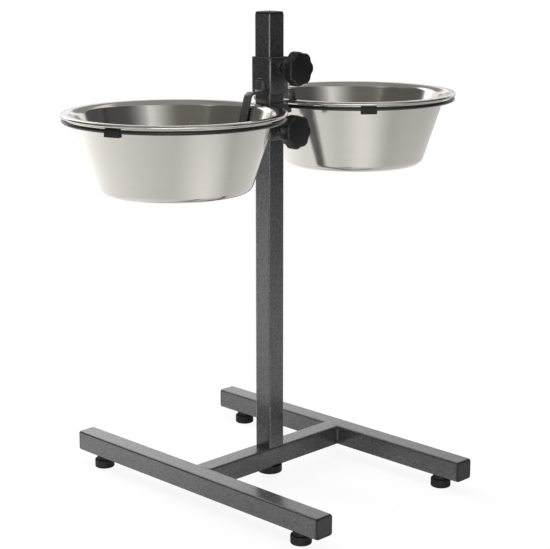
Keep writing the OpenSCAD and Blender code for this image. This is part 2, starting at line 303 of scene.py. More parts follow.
def placeOn(web, centre=(0, 0, 0)):
    spot = web.node("ShaderNodeTexCoord", output="Object")
    shift = tuple(-c for c in centre)
    return web.node("ShaderNodeMapping", None, {"Vector": spot, "Location": shift})


def mixed(web, factor, first, second):
    return web.node("ShaderNodeMix", {"data_type": "RGBA"}, {0: factor, 6: first, 7: second}, output=2)


def noise(web, spot, scale, detail=2, rough=0.5):
    return web.node("ShaderNodeTexNoise", None,
                    {"Vector": spot, "Scale": scale, "Detail": detail, "Roughness": rough})


def ramped(web, value, stops):
    return web.node("ShaderNodeValToRGB", {"stops": stops}, {"Fac": value})


def bumped(web, height, distance, strength):
    return web.node("ShaderNodeBump", None,
                    {"Height": height, "Distance": distance, "Strength": strength})


# hammered enamel: small smooth dimples with a metallic fleck between them
enamel = {
    "wander": 260, "wanderReach": 0.0022, "dimples": 430, "dimpleSmooth": 0.6, "fleck": 1500, "cloud": 9,
    "crown": [(0.15, 1.0), (0.75, 0.0)],
    "crownShare": 0.5, "fleckShare": 0.45, "cloudShare": 0.3, "lessShare": 0.12,
    "dark": (0.040, 0.040, 0.043, 1), "light": (0.166, 0.166, 0.170, 1),
    "metal": 0.70, "rough": 0.30, "fleckRough": 0.16,
    "bumpDepth": 0.0004, "bumpStrength": 0.30, "coat": 1.0, "coatRough": 0.17,
}


def toned(colour, share):
    return tuple(c * share for c in colour[:3]) + (1,)


# tone scales both colours and coat the clear coat; copies made with them paint light and shade
def hammeredEnamel(name, tone=1.0, coat=1.0):
    material, web = newMaterial(name)
    spot = placeOn(web)
    wander = web.node("ShaderNodeTexNoise", None,
                      {"Vector": spot, "Scale": enamel["wander"], "Detail": 1}, output="Color")
    bent = web.node("ShaderNodeVectorMath", {"operation": "MULTIPLY_ADD"},
                    {0: wander, 1: (enamel["wanderReach"],) * 3, 2: spot})
    dimple = web.node("ShaderNodeTexVoronoi", {"feature": "SMOOTH_F1"},
                      {"Vector": bent, "Scale": enamel["dimples"], "Smoothness": enamel["dimpleSmooth"]})
    fleck = noise(web, spot, enamel["fleck"], 1)
    cloud = noise(web, spot, enamel["cloud"], 3)
    crown = ramped(web, dimple, enamel["crown"])
    shares = crown * enamel["crownShare"] + fleck * enamel["fleckShare"] + cloud * enamel["cloudShare"]
    mask = shares - enamel["lessShare"]
    finishMaterial(web, {
        "Base Color": mixed(web, mask, toned(enamel["dark"], tone), toned(enamel["light"], tone)),
        "Metallic": enamel["metal"],
        "Roughness": enamel["rough"] + fleck * enamel["fleckRough"],
        "Normal": bumped(web, crown, enamel["bumpDepth"], enamel["bumpStrength"]),
        "Coat Weight": enamel["coat"] * coat,
        "Coat Roughness": enamel["coatRough"],
    })
    return material


# polished sheet with fine turned lines that run round each bowl
steel = {
    "tint": (0.675, 0.648, 0.610, 1), "shadeTint": (0.605, 0.580, 0.545, 1),
    "lines": 5200, "lineGrit": 0.6, "bands": 260, "smear": 14, "bandShare": 0.7, "lineShare": 0.3,
    "rough": 0.07, "lineRough": 0.10, "smearRough": 0.05, "bumpDepth": 0.00004, "bumpStrength": 0.16,
}


def turnedSteel(name, centreX):
    material, web = newMaterial(name)
    spot = placeOn(web, (centreX, 0, 0))
    flat = web.node("ShaderNodeVectorMath", {"operation": "MULTIPLY"}, {0: spot, 1: (1, 1, 0)})
    radius = web.node("ShaderNodeVectorMath", {"operation": "LENGTH"}, {0: flat}, output="Value")
    height = web.node("ShaderNodeSeparateXYZ", None, {0: spot}, output="Z")
    section = web.node("ShaderNodeCombineXYZ", None, {"X": radius, "Y": height, "Z": 0.0})
    lines = noise(web, section, steel["lines"], 2, steel["lineGrit"])
    bands = noise(web, section, steel["bands"], 2)
    smear = noise(web, spot, steel["smear"], 3)
    mask = bands * steel["bandShare"] + lines * steel["lineShare"]
    finishMaterial(web, {
        "Base Color": mixed(web, mask, steel["shadeTint"], steel["tint"]),
        "Metallic": 1.0,
        "Roughness": steel["rough"] + lines * steel["lineRough"] + smear * steel["smearRough"],
        "Normal": bumped(web, lines, steel["bumpDepth"], steel["bumpStrength"]),
    })
    return material


# moulded plastic: spark-eroded grain and a faint bloom
mould = {
    "grain": 2600, "bloom": 45, "bloomShare": 0.7, "grainShare": 0.3,
    "dark": (0.004, 0.004, 0.005, 1), "light": (0.014, 0.014, 0.016, 1),
    "rough": 0.30, "bloomRough": 0.12, "grainRough": 0.08, "bumpDepth": 0.0001, "bumpStrength": 0.12,
}


def mouldedPlastic():
    material, web = newMaterial("mouldedPlastic")
    spot = placeOn(web)
    grain = noise(web, spot, mould["grain"], 2)
    bloom = noise(web, spot, mould["bloom"], 3)
    mask = bloom * mould["bloomShare"] + grain * mould["grainShare"]
    finishMaterial(web, {
        "Base Color": mixed(web, mask, mould["dark"], mould["light"]),
        "Roughness": mould["rough"] + bloom * mould["bloomRough"] + grain * mould["grainRough"],
        "Normal": bumped(web, grain, mould["bumpDepth"], mould["bumpStrength"]),
    })
    return material


# rubber: matt grain with dust in patches
dusty = {
    "grain": 1400, "dust": 160, "dustSpread": [(0.45, 0.0), (0.8, 1.0)], "dustShare": 0.5,
    "dark": (0.007, 0.007, 0.008, 1), "light": (0.030, 0.030, 0.031, 1),
    "rough": 0.58, "grainRough": 0.2, "bumpDepth": 0.0002, "bumpStrength": 0.2,
}


def mattRubber():
    material, web = newMaterial("mattRubber")
    spot = placeOn(web)
    grain = noise(web, spot, dusty["grain"], 3)
    dust = ramped(web, noise(web, spot, dusty["dust"], 4), dusty["dustSpread"])
    finishMaterial(web, {
        "Base Color": mixed(web, dust * dusty["dustShare"], dusty["dark"], dusty["light"]),
        "Roughness": dusty["rough"] + grain * dusty["grainRough"],
        "Normal": bumped(web, grain, dusty["bumpDepth"], dusty["bumpStrength"]),
    })
    return material


# zinc plating: a fine spangle
plating = {
    "spangle": 320, "dark": (0.42, 0.42, 0.41, 1), "light": (0.64, 0.64, 0.62, 1),
    "rough": 0.26, "spangleRough": 0.2, "bumpDepth": 0.0001, "bumpStrength": 0.1,
}


def platedZinc():
    material, web = newMaterial("platedZinc")
    spot = placeOn(web)
    spangle = noise(web, spot, plating["spangle"], 3)
    finishMaterial(web, {
        "Base Color": mixed(web, spangle, plating["dark"], plating["light"]),
        "Metallic": 1.0,
        "Roughness": plating["rough"] + spangle * plating["spangleRough"],
        "Normal": bumped(web, spangle, plating["bumpDepth"], plating["bumpStrength"]),
    })
    return material


# nylon: cloudy and slightly see-through
milky = {
    "cloud": 500, "dark": (0.66, 0.63, 0.55, 1), "light": (0.80, 0.78, 0.70, 1),
    "rough": 0.42, "cloudRough": 0.15, "depthShare": 0.08, "depth": (0.002, 0.002, 0.0015),
}


def naturalNylon():
    material, web = newMaterial("naturalNylon")
    spot = placeOn(web)
    cloud = noise(web, spot, milky["cloud"], 3)
    finishMaterial(web, {
        "Base Color": mixed(web, cloud, milky["dark"], milky["light"]),
        "Roughness": milky["rough"] + cloud * milky["cloudRough"],
        "Subsurface Weight": milky["depthShare"],
        "Subsurface Radius": milky["depth"],
    })
    return material


enamelPaint = hammeredEnamel("hammeredEnamel")
# painted shade: the rings' enamel darkened to a third, with less coat, for the shadow under the bowls'
# rims
ringPaintedShade = hammeredEnamel("paintedShadeEnamel", 0.35, 0.35)
# painted light: the hooks' enamel lightened by a third, for the light falling on the straps
hookPaintedLight = hammeredEnamel("paintedLightEnamel", 1.35)
plastic = mouldedPlastic()
rubber = mattRubber()
zinc = platedZinc()
nylon = naturalNylon()
print("materials made")


# bowls: half the section traced at mid sheet, spun round and given its thickness
bowl = {
    "sheet": 0.0008, "floorRadius": 0.0905, "floorRings": (0, 0.03, 0.06), "floorFillet": 0.012,
    "rimWidth": 0.0135, "rimFillet": 0.009, "curlRadius": 0.0017, "curlTurn": 240,
    "steps": 192,
}


def bowlOutline(radius, low, high):
    floorZ = low + bowl["sheet"] / 2
    rimZ = high - bowl["sheet"] / 2
    wallTop = radius - bowl["rimWidth"]
    lean = math.degrees(math.atan2(wallTop - bowl["floorRadius"], rimZ - floorZ))
    reach = math.tan(math.radians(90 - lean) / 2)
    fillet, rim, curl = bowl["floorFillet"], bowl["rimFillet"], bowl["curlRadius"]
    curlX = radius - curl - bowl["sheet"] / 2
    floorLine = [(ringRadius, floorZ) for ringRadius in bowl["floorRings"]]
    heel = arcPoints(bowl["floorRadius"] - fillet * reach, floorZ + fillet, fillet, -90, -lean, 10)
    shoulder = arcPoints(wallTop + rim * reach, rimZ - rim, rim, 180 - lean, 90, 8)
    roll = arcPoints(curlX, rimZ - curl, curl, 90, 90 - bowl["curlTurn"], 18)
    return floorLine + heel + shoulder + roll


def makeBowl(side):
    node = "bowl_" + side
    low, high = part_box(node)
    centreX = (low.x + high.x) / 2
    outline = bowlOutline((high.x - low.x) / 2, low.z, high.z)
    piece = turned("bowl." + side, outline, (centreX, 0, 0), "z", bowl["steps"])
    applyModifier(piece, "SOLIDIFY", thickness=bowl["sheet"], offset=0, use_even_offset=True)
    handOver(piece, side + "_bowl", "stainless", turnedSteel("turnedSteel." + side, centreX), node)


for side in sides:
    makeBowl(side)
print("bowls made")


# rings: a small circle stood on edge and spun round the bowl's axis
ring = {"wire": 0.005, "wireSides": 20, "steps": 160}


def makeRing(side):
    node = "ring_" + side
    low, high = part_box(node)
    centre = (low + high) / 2
    startFresh()
    bpy.ops.mesh.primitive_circle_add(
        vertices=ring["wireSides"], radius=ring["wire"] / 2,
        location=(high.x - ring["wire"] / 2, centre.y, centre.z), rotation=(math.pi / 2, 0, 0))
    piece = nameAdded("ringWire." + side)
    editPiece(piece)
    bpy.ops.mesh.select_all(action="SELECT")
    bpy.ops.mesh.spin(steps=ring["steps"], angle=2 * math.pi, center=centre, axis=(0, 0, 1))
    cleanShell()
    objectMode()
    # the wire gets the darkened enamel as painted shade
    handOver(piece, "bowl_carrier", "grey_paint", ringPaintedShade, node)


# pads: clips pushed over the wire from above, with two lips that hang below it
pad = {
    "length": 0.020, "outer": 0.0035, "inner": 0.00255, "lip": 0.0065, "mouth": 0.0011,
    "first": {"left": -163, "right": -130}, "count": 3, "steps": 8, "edge": 0.0006,
}


def padOutline(ringRadius):
    top = arcPoints(0, 0, pad["outer"], 0, 180, 14)
    hollow = arcPoints(0, 0, pad["inner"], 235, -55, 18)
    lips = [(-pad["outer"], -pad["lip"]), (-pad["mouth"], -pad["lip"])]
    outline = top + lips + hollow + [(pad["mouth"], -pad["lip"]), (pad["outer"], -pad["lip"])]
    return [(ringRadius + x, z) for x, z in outline]


def makePads(side):
    low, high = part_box("ring_" + side)
    centre = (low + high) / 2
    ringRadius = (high.x - low.x) / 2 - ring["wire"] / 2
    turn = pad["length"] / ringRadius
    points = [Vector((centre.x + x, centre.y, centre.z + z)) for x, z in padOutline(ringRadius)]
    first = filledOutline("pad.shape", points)
    bpy.ops.mesh.select_all(action="SELECT")
    bpy.ops.mesh.spin(steps=pad["steps"], angle=turn, center=centre, axis=(0, 0, -1))
    cleanShell()
    objectMode()
    pads = []
    for i in range(pad["count"]):
        spin = math.radians(pad["first"][side] + 360 / pad["count"] * i) - turn / 2
        shift = (centre.x * (1 - math.cos(spin)), -centre.x * math.sin(spin), 0)
        pads.append(copied(first, "pad", shift, spin))
    bpy.data.objects.remove(first)
    piece = joined(pads)
    piece.name = "ringPads." + side
    roundEdges(piece, pad["edge"], 2, 0.7)
    handOver(piece, "bowl_carrier", "black_rubber", rubber, "ring_pads_" + side)


for side in sides:
    makeRing(side)
    makePads(side)
print("rings and pads made")


# collars: a square drawn up with round corners, then bored through
collar = {"corner": 0.0035, "wall": 0.0025, "boreSlack": 0.0001, "edge": 0.0007}


def makeCollar(node, body):
    low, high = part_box(node)
    centre = (low + high) / 2
    width = high.x - low.x
    startFresh()
    bpy.ops.mesh.primitive_plane_add(size=width, location=(centre.x, centre.y, low.z))
    piece = nameAdded(pieceName(node))
    editPiece(piece)
    bpy.ops.mesh.select_all(action="SELECT")
    bpy.ops.mesh.bevel(offset=collar["corner"], segments=6, affect="VERTICES")
    bpy.ops.mesh.select_all(action="SELECT")
    extrudeBy((0, 0, high.z - low.z))
    cleanShell()
    pick(piece, "faces", lambda f: abs(f.normal.z) > 0.9)
    bpy.ops.mesh.inset(thickness=collar["wall"], use_even_offset=True)
    bpy.ops.mesh.delete(type="ONLY_FACE")
    half = width / 2 - collar["wall"] + collar["boreSlack"]
    pick(piece, "edges", lambda e: all(
        abs(v.co.x - centre.x) < half and abs(v.co.y - centre.y) < half for v in e.verts))
    bpy.ops.mesh.bridge_edge_loops()
    cleanShell()
    objectMode()
    roundEdges(piece, collar["edge"], 3, 0.9)
    handOver(piece, body, "grey_paint", enamelPaint, node)


makeCollar("lower_collar", "bowl_carrier")
makeCollar("upper_collar", "bowl_lock")
print("collars made")


# hooks: the strap's side view traced, its corners rounded, then widened and thickened
hook = {"thick": 0.003, "bend": 0.005, "edge": 0.0005}


def makeHook():
    low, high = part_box("hook_right")
    bowlLow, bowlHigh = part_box("bowl_right")
    rimZ = bowlHigh.z - bowl["sheet"] / 2
    floorZ = bowlLow.z + bowl["sheet"] / 2
    wallTop = (bowlHigh.x - bowlLow.x) / 2 - bowl["rimWidth"]
    slope = (wallTop - bowl["floorRadius"]) / (rimZ - floorZ)
    half = hook["thick"] / 2
    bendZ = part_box("upper_collar")[0].z + half
    tip = Vector((high.x - half, low.y, low.z + half))
    outer = Vector((tip.x - (bendZ - tip.z) * slope, low.y, bendZ))
    inner = Vector((low.x + half, low.y, bendZ))
    top = Vector((inner.x, low.y, high.z - half))
    piece = tracedLine("hook.right", [top, inner, outer, tip])
    pick(piece, "verts", lambda v: abs(v.co.z - bendZ) < levelGap)
    bpy.ops.mesh.bevel(offset=hook["bend"], segments=6, affect="VERTICES")
    bpy.ops.mesh.select_all(action="SELECT")
    extrudeBy((0, high.y - low.y, 0))
    cleanShell()
    objectMode()
    applyModifier(piece, "SOLIDIFY", thickness=hook["thick"], offset=0, use_even_offset=True)
    roundEdges(piece, hook["edge"], 3, 0.9)
    return piece


hookRight = makeHook()
hookLeft = copied(hookRight, "hook.left", mirrored=True)
# the straps get the lightened enamel as painted light
handOver(hookRight, "bowl_lock", "grey_paint", hookPaintedLight, "hook_right")
handOver(hookLeft, "bowl_lock", "grey_paint", hookPaintedLight, "hook_left")
print("hooks made")


# clamp knobs: a lobed outline drawn out and rounded over, on a turned hub that widens towards it
knob = {
    "radius": 0.0215, "lobes": 7, "hollow": 0.002, "hollowPower": 1.6, "pointsPerLobe": 16,
    "head": 0.014, "frontRound": 0.003, "backRound": 0.0015,
    "bore": 0.0042, "hubRadius": 0.0115, "hubRound": 0.001, "neckRadius": 0.016, "neckSink": 0.001,
    "hubSteps": 64,
}


def hubOutline(length):
    bore, hub, soft = knob["bore"], knob["hubRadius"], knob["hubRound"]
    outline = [(bore, 0)] + arcPoints(hub - soft, -soft, soft, 90, 15, 5)
    outline += [(knob["neckRadius"], -length), (knob["neckRadius"], -length - knob["neckSink"])]
    return outline + [(bore, -length - knob["neckSink"]), (bore, 0)]


def makeKnob(node, body):
    low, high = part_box(node)
    centre = (low + high) / 2
    backY = low.y + knob["head"]
    count = knob["lobes"] * knob["pointsPerLobe"]
    points = []
    for i in range(count):
        angle = 2 * math.pi * i / count
        dip = (0.5 - 0.5 * math.cos(angle * knob["lobes"])) ** knob["hollowPower"]
        radius = knob["radius"] - knob["hollow"] * dip
        points.append(Vector((radius * math.cos(angle), backY, centre.z + radius * math.sin(angle))))
    head = filledOutline(pieceName(node), points)
    extrudeBy((0, -knob["head"], 0))
    cleanShell()
    pick(head, "edges", lambda e: all(abs(v.co.y - low.y) < levelGap for v in e.verts))
    bpy.ops.mesh.bevel(offset=knob["frontRound"], segments=5, profile=0.5)
    pick(head, "edges", lambda e: all(abs(v.co.y - backY) < levelGap for v in e.verts))
    bpy.ops.mesh.bevel(offset=knob["backRound"], segments=3, profile=0.5)
    objectMode()
    hub = turned("hub", hubOutline(high.y - backY), (centre.x, high.y, centre.z), "y", knob["hubSteps"])
    piece = joined([head, hub])
    handOver(piece, body, "black_plastic", plastic, node)


makeKnob("lower_knob", "lower_clamp_knob")
makeKnob("upper_knob", "upper_clamp_knob")
print("knobs made")


# clamp screws: one pitch of thread traced and wound round by the screw modifier
thread = {
    "pitch": 0.00125, "crest": 0.004, "root": 0.00335, "steps": 28,
    "rise": (0.12, 0.46), "fall": (0.58, 0.92),     # shares of one pitch
}


def makeScrew(node, body):
    low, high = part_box(node)
    centre = (low + high) / 2
    pitch, crest, root = thread["pitch"], thread["crest"], thread["root"]
    (riseStart, riseEnd), (fallStart, fallEnd) = thread["rise"], thread["fall"]
    rising = [(root, 0), (root, riseStart), (crest, riseEnd)]
    falling = [(crest, fallStart), (root, fallEnd), (root, 1.0)]
    piece = tracedLine(pieceName(node), [(r, 0, pitch * share) for r, share in rising + falling])
    objectMode()
    turns = int((high.y - low.y) / pitch) - 1
    applyModifier(piece, "SCREW", axis="Z", angle=2 * math.pi, screw_offset=pitch, iterations=turns,
                  steps=thread["steps"], render_steps=thread["steps"], use_merge_vertices=True)
    piece.rotation_euler = (math.pi / 2, 0, 0)
    piece.location = (centre.x, high.y, centre.z)
    activate(piece)
    bpy.ops.object.transform_apply(location=True, rotation=True, scale=True)
    editPiece(piece)
    bpy.ops.mesh.select_all(action="SELECT")
    bpy.ops.mesh.fill_holes(sides=0)
    cleanShell()
    objectMode()
    handOver(piece, body, "zinc_steel", zinc, node)


makeScrew("lower_screw", "lower_clamp_knob")
makeScrew("upper_screw", "upper_clamp_knob")
print("screws made")


# weld nuts: six sides, with the front corners turned down
nut = {"sides": 6, "chamfer": 0.0009, "shoulder": 0.0016, "countersink": 0.0006, "edge": 0.0003}


def makeNut(node, body):
    low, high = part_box(node)
    centre = (low + high) / 2
    radius = max(high.x - low.x, high.z - low.z) / 2
    startFresh()
    bpy.ops.mesh.primitive_cylinder_add(
        vertices=nut["sides"], radius=radius, depth=high.y - low.y, end_fill_type="NGON",
        location=centre, rotation=(math.pi / 2, 0, 0))
    piece = nameAdded(pieceName(node))
    wide = high.x - low.x > high.z - low.z
    editPiece(piece)
    bpy.ops.mesh.select_all(action="SELECT")
    if wide:
        bpy.ops.transform.rotate(value=math.pi / nut["sides"], orient_axis="Y", center_override=centre)
    pick(piece, "verts", lambda v: abs(v.co.y - low.y) < levelGap)
    bpy.ops.mesh.bevel(offset=nut["chamfer"], segments=2, affect="VERTICES")
    pick(piece, "faces", lambda f: f.normal.y < -0.9)
    bpy.ops.mesh.inset(thickness=nut["shoulder"], depth=0)
    bpy.ops.mesh.inset(thickness=nut["countersink"], depth=-nut["countersink"])
    objectMode()
    roundEdges(piece, nut["edge"], 2, 0.6)
    handOver(piece, body, "grey_paint", enamelPaint, node)


makeNut("lower_nut", "bowl_carrier")
makeNut("upper_nut", "bowl_lock")
print("nuts made")


# push-in caps: a square with round corners drawn out and rounded over, with a plug behind it
cap = {
    "plate": 0.003, "corner": 0.0036, "edge": 0.0018, "border": 0.0003, "sink": 0.0004, "step": 0.0003,
    "plugInset": 0.00136, "plug": 0.012,
}


def makeCap(node, axis, front):
    # front is the cap's outward direction along its axis
    low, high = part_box(node)
    spot = "xyz".index(axis)
    along = axes[axis][0] * front
    outerFace = high[spot] if front > 0 else low[spot]
    seat = outerFace - front * cap["plate"]
    place = (low + high) / 2
    place[spot] = seat
    startFresh()
    bpy.ops.mesh.primitive_plane_add(
        size=high.x - low.x, location=place, rotation=(math.pi / 2 if axis == "y" else 0, 0, 0))
    piece = nameAdded(pieceName(node))
    editPiece(piece)
    bpy.ops.mesh.select_all(action="SELECT")
    bpy.ops.mesh.bevel(offset=cap["corner"], segments=6, affect="VERTICES")
    bpy.ops.mesh.select_all(action="SELECT")
    extrudeBy(along * cap["plate"])
    cleanShell()
    pick(piece, "faces", lambda f: f.normal.dot(along) < -0.99)
    bpy.ops.mesh.inset(thickness=cap["plugInset"], depth=0)
    extrudeBy(along * -cap["plug"])
    pick(piece, "edges", lambda e: all(abs(v.co[spot] - outerFace) < levelGap for v in e.verts))
    bpy.ops.mesh.bevel(offset=cap["edge"], segments=6, profile=0.5)
    pick(piece, "faces", lambda f: f.normal.dot(along) > 0.99)
    bpy.ops.mesh.inset(thickness=cap["border"], depth=0)
    bpy.ops.mesh.inset(thickness=cap["step"], depth=-cap["sink"])
    cleanShell()
    objectMode()
    handOver(piece, "base", "black_plastic", plastic, node)


for side in sides:
    makeCap("cap_" + side + "_front", "y", -1)
    makeCap("cap_" + side + "_rear", "y", 1)
makeCap("cap_post", "z", 1)
print("caps made")


# feet: turned, with a soft heel, a narrower neck and the screw's recess below
foot = {
    "neck": 0.010, "neckHeight": 0.006, "recess": 0.005, "depth": 0.006, "bore": 0.00255,
    "lip": 0.0006, "heel": 0.0016, "shoulder": 0.0012, "steps": 64,
}


def footOutline(radius, height):
    neck, recess, depth, bore = (foot[key] for key in ("neck", "recess", "depth", "bore"))
    lip, heel, shoulder = (foot[key] for key in ("lip", "heel", "shoulder"))
    body = height - foot["neckHeight"]
    outline = [(bore, depth), (recess, depth)]
    outline += arcPoints(recess + lip, lip, lip, 180, 270, 4)
    outline += arcPoints(radius - heel, heel, heel, -90, 0, 6)
    outline += arcPoints(radius - shoulder, body - shoulder, shoulder, 0, 90, 6)
    outline += arcPoints(neck + lip, body + lip, lip, 270, 180, 4)
    return outline + [(neck, height), (bore, height), (bore, depth)]


def makeFoot(node):
    low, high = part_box(node)
    centre = (low + high) / 2
    outline = footOutline((high.x - low.x) / 2, high.z - low.z)
    piece = turned(pieceName(node), outline, (centre.x, centre.y, low.z), "z", foot["steps"])
    handOver(piece, "base", "black_rubber", rubber, node)


for side in sides:
    for end in ("front", "rear"):
        makeFoot("foot_" + side + "_" + end)
print("feet made")


# bolt cover: turned, with a soft lower edge and the recess for the bolt's head
cover = {"edge": 0.0014, "recess": 0.008, "lip": 0.0006, "depth": 0.006, "bore": 0.00405, "steps": 72}


def coverOutline(radius, height):
    bore, depth, recess, lip, edge = (cover[key] for key in ("bore", "depth", "recess", "lip", "edge"))
    outline = [(bore, depth), (recess, depth)]
    outline += arcPoints(recess + lip, lip, lip, 180, 270, 4)
    outline += arcPoints(radius - edge, edge, edge, -90, 0, 6)
    return outline + [(radius, height), (bore, height), (bore, depth)]


def makeCover():
    low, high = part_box("bolt_cover")
    centre = (low + high) / 2
    outline = coverOutline((high.x - low.x) / 2, high.z - low.z)
    piece = turned("bolt.cover", outline, (centre.x, centre.y, low.z), "z", cover["steps"])
    handOver(piece, "base", "black_plastic", plastic, "bolt_cover")


makeCover()
print("bolt cover made")


# welds: a rippled bead turned along each seam
weld = {
    "ripple": 0.0019, "pointsPerRipple": 4, "swell": 0.16, "sides": 12,
    "tip": 0.0002, "tipShare": 0.55, "endGap": 0.0004, "endShare": 0.62, "endRise": 4,
    "fillOver": 0.0005, "fillUnder": 0.0027, "fillShort": 0.0018, "fillRise": 0.00006,
    "fillDepth": 0.0022, "fillEdge": 0.0004,
    "barSide": {"short": 0.003, "radius": 0.0022},
    "barBelow": {"short": 0.002, "radius": 0.0016, "out": 0.0006, "rise": 0.0012},
    "armSide": {"short": 0.0005, "radius": 0.0018},
    "armLevel": {"short": 0.001, "radius": 0.0018},
    "strapSide": {"length": 0.012, "start": 0.014, "radius": 0.0017},
    "strapTop": {"short": 0.002, "radius": 0.0015},
}


def beadOutline(length, radius):
    count = max(2, round(length / weld["ripple"]))
    points = count * weld["pointsPerRipple"]
    tipRadius, tip, gap = radius * weld["tipShare"], weld["tip"], weld["endGap"]
    outline = [(0, 0), (tipRadius, tip)]
    for i in range(points + 1):
        share = i / points
        ripple = abs(math.sin(math.pi * count * share))
        ends = min(1, weld["endShare"] + weld["endRise"] * min(share, 1 - share))
        swelling = 1 - weld["swell"] * (1 - ripple)
        outline.append((radius * ends * swelling, gap + share * (length - 2 * gap)))
    return outline + [(tipRadius, length - tip), (0, length)]


def makeFill(name, x, outwards):
    # a weld ground level, in the groove between the cross bar's end and a foot bar's round edge
    low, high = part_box("cross_bar")
    near, far = x - outwards * weld["fillOver"], x + outwards * weld["fillUnder"]
    front, back = low.y + weld["fillShort"], high.y - weld["fillShort"]
    top = high.z + weld["fillRise"]
    corners = [(near, front, top), (far, front, top), (far, back, top), (near, back, top)]
    piece = filledOutline(name, corners)
    extrudeBy((0, 0, -weld["fillDepth"]))
    cleanShell()
    objectMode()
    applyModifier(piece, "BEVEL", width=weld["fillEdge"], segments=3)
    return piece


def makeWelds(name, body, seams, fills=()):
    beads = list(fills)
    for i, (base, axis, length, radius) in enumerate(seams):
        beads.append(turned(name + str(i), beadOutline(length, radius), base, axis, weld["sides"]))
    piece = joined(beads)
    piece.name = name
    handOver(piece, body, "grey_paint", enamelPaint)


def upSeam(x, y, low, high, bead):
    # low and high are the corners of the piece that the seam runs along
    return (x, y, low.z + bead["short"]), "z", high.z - low.z - 2 * bead["short"], bead["radius"]


def levelSeam(x, z, low, high, bead):
    return (x, low.y + bead["short"], z), "y", high.y - low.y - 2 * bead["short"], bead["radius"]


def baseSeams():
    seams = []
    low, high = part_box("cross_bar")
    below = weld["barBelow"]
    for x, outwards in ((low.x, -1), (high.x, 1)):
        for y in (low.y, high.y):
            seams.append(upSeam(x, y, low, high, weld["barSide"]))
        seams.append(levelSeam(x + outwards * below["out"], low.z + below["rise"], low, high, below))
    return seams


def baseFills():
    low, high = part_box("cross_bar")
    return [makeFill("fill.left", low.x, -1), makeFill("fill.right", high.x, 1)]


def carrierSeams():
    seams = []
    for side in sides:
        low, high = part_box("ring_arm_" + side)
        atCollar = high.x if side == "left" else low.x
        for y in (low.y, high.y):
            seams.append(upSeam(atCollar, y, low, high, weld["armSide"]))
        for z in (low.z, high.z):
            seams.append(levelSeam(atCollar, z, low, high, weld["armLevel"]))
    return seams


def lockSeams():
    seams = []
    upright = weld["strapSide"]
    for side in sides:
        low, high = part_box("hook_" + side)
        face = high.x if side == "left" else low.x
        for y in (low.y, high.y):
            seams.append(((face, y, high.z - upright["start"]), "z", upright["length"], upright["radius"]))
        seams.append(levelSeam(face, high.z, low, high, weld["strapTop"]))
    return seams


makeWelds("weldsBase", "base", baseSeams(), baseFills())
makeWelds("weldsCarrier", "bowl_carrier", carrierSeams())
makeWelds("weldsLock", "bowl_lock", lockSeams())
print("welds made")


# CAD nodes that stay as they are, with their finish
finishes = {
    "grey_paint": enamelPaint, "black_plastic": plastic, "black_rubber": rubber,
    "zinc_steel": zinc, "white_nylon": nylon,
}
slotOf = {part["node"]: part["material_slot"] for part in frame["record"]["subparts"]}
for name, node in nodes.items():
    if not node.hide_render:
        node.data.materials.clear()
        node.data.materials.append(finishes[slotOf[name]])
print("frame nodes finished")


# studio: pale floor, painted lighter in pools where the metal mirrors it, white surround, soft boxes, and
# grey and white cards for the metal to mirror
studio = {
    "floorSize": 60, "floorColour": (0.66, 0.66, 0.65), "seenFloor": (0.95, 0.95, 0.95, 1),
    "surround": 0.6, "shadowShare": 0.10, "shadowReach": 0.9, "shadowFull": 0.25,
    # floorLevel, falloffX, riseY and the glows paint light onto the floor that the metal mirrors
    "floorLevel": 0.99, "falloffX": 0.03, "riseY": 0.22, "levelLow": 0.6, "levelHigh": 1.7,
    "glows": [((-0.12, -0.47, 0), 0.6), ((-0.2, 0.05, 0), 0.3)], "glowReach": 0.42,
}


def makeFloor():
    startFresh()
    bpy.ops.mesh.primitive_plane_add(size=studio["floorSize"], location=(0, 0, 0))
    floor = nameAdded("floor")
    material, web = newMaterial("paleFloor")
    path = web.node("ShaderNodeLightPath", output="Is Camera Ray")
    spot = web.node("ShaderNodeTexCoord", output="Object")
    reach = web.node("ShaderNodeVectorMath", {"operation": "LENGTH"}, {0: spot}, output="Value")
    near = web.node("ShaderNodeMapRange", None,
                    {"Value": reach, "From Min": studio["shadowReach"], "From Max": studio["shadowFull"]})
    across = web.node("ShaderNodeSeparateXYZ", None, {0: spot}, output="X")
    along = web.node("ShaderNodeSeparateXYZ", None, {0: spot}, output="Y")
    # painted light: mirrors and bounces see the floor lighter towards +Y and darker towards +X, with pools
    # of light round the glow centres; the camera sees it plain white with its shadow
    level = studio["floorLevel"] - across * studio["falloffX"] + along * studio["riseY"]
    for centre, amount in studio["glows"]:
        gap = web.node("ShaderNodeVectorMath", {"operation": "DISTANCE"}, {0: spot, 1: centre},
                       output="Value")
        level += amount * web.node("ShaderNodeMapRange", {"interpolation_type": "SMOOTHSTEP"},
                                   {"Value": gap, "From Min": studio["glowReach"], "From Max": 0.0})
    level = web.node("ShaderNodeClamp", None,
                     {"Value": level, "Min": studio["levelLow"], "Max": studio["levelHigh"]})
    tone = web.node("ShaderNodeVectorMath", {"operation": "SCALE"},
                    {0: studio["floorColour"], "Scale": level})
    matt = web.node("ShaderNodeBsdfDiffuse", None, {"Color": mixed(web, path, tone, studio["seenFloor"])})
    white = web.node("ShaderNodeEmission", None, {"Color": (1, 1, 1, 1), "Strength": 1.0})
    share = path * (1 - near * studio["shadowShare"])
    surface = web.node("ShaderNodeMixShader", None, {0: share, 1: matt, 2: white})
    web.node("ShaderNodeOutputMaterial", None, {"Surface": surface})
    floor.data.materials.append(material)


